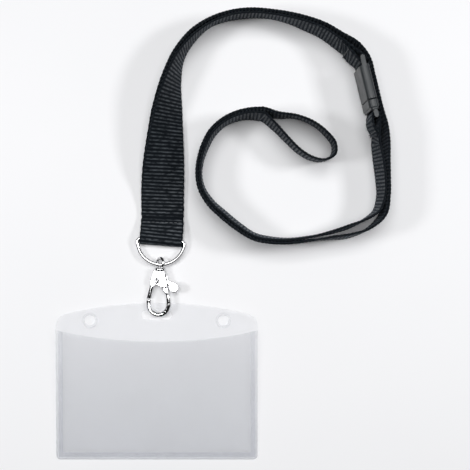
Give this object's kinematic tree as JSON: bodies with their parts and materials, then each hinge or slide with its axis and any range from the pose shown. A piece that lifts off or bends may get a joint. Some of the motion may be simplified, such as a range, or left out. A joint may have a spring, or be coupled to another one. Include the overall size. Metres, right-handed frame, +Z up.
{
  "type": "neck lanyard with badge holder",
  "caption": "Doubled webbing neck lanyard with breakaway buckle, D-ring, swivel trigger clasp and soft clear badge holder, laid down loosely.",
  "frame": {"origin": "on the table under the middle of the whole laid-out lanyard", "axes": "+Z up from the table, +Y from the badge holder towards the far bend of the strap, +X to the side where the strap's neck loop lies"},
  "size_m": [0.1522, 0.207, 0.0224],
  "materials": {
    "webbing": "ribbed polyester webbing",
    "thread": "sewing thread",
    "buckle": "moulded acetal, fine texture",
    "bright_metal": "nickel plated, polished",
    "spring_steel": "drawn wire",
    "clear_sheet": "soft clear vinyl, slightly cloudy"
  },
  "bodies": {
    "strap": {"neck_strap": "webbing", "strap_tail": "webbing", "ring_seam": "thread", "socket_seam": "thread", "buckle_socket": "buckle"},
    "d_ring": {"d_ring": "bright_metal"},
    "swivel": {"swivel_eye": "bright_metal"},
    "clasp": {"clasp_hook": "bright_metal", "trigger_pin": "bright_metal", "trigger_spring": "spring_steel"},
    "trigger": {"trigger_lever": "bright_metal"},
    "badge": {"badge_back": "clear_sheet", "badge_front": "clear_sheet"},
    "plug": {"buckle_plug": "buckle", "plug_hem": "webbing", "plug_seam": "thread"}
  },
  "joints": [
    {"name": "d_ring_tilt", "type": "hinge", "parent": "strap", "child": "d_ring", "pos_m": [-0.02747, -0.00176, 0.00275], "axis": [0.9969, -0.0785, 0], "range_deg": [-60, 60]},
    {"name": "eye_tilt", "type": "hinge", "parent": "d_ring", "child": "swivel", "pos_m": [-0.02782, -0.01304, 0.00275], "axis": [0.9991, -0.0424, 0], "range_deg": [-30, 30]},
    {"name": "clasp_swivel", "type": "hinge", "parent": "swivel", "child": "clasp", "pos_m": [-0.02782, -0.01169, 0.00275], "axis": [0.0424, 0.9991, 0], "continuous": true},
    {"name": "trigger_open", "type": "hinge", "parent": "clasp", "child": "trigger", "pos_m": [-0.02899, -0.02065, 0.00249], "axis": [-0.3087, 0.0131, 0.9511], "range_deg": [0, 22], "stiffness_Nm_per_rad": 0.03},
    {"name": "badge_turn", "type": "hinge", "parent": "clasp", "child": "badge", "pos_m": [-0.02906, -0.03626, 0.00269], "axis": [0, 1, 0], "range_deg": [0, 144]},
    {"name": "buckle_release", "type": "slide", "parent": "strap", "child": "plug", "axis": [0.236, -0.9718, 0], "range_m": [0, 0.009], "deforming": ["strap_tail"]}
  ]
}
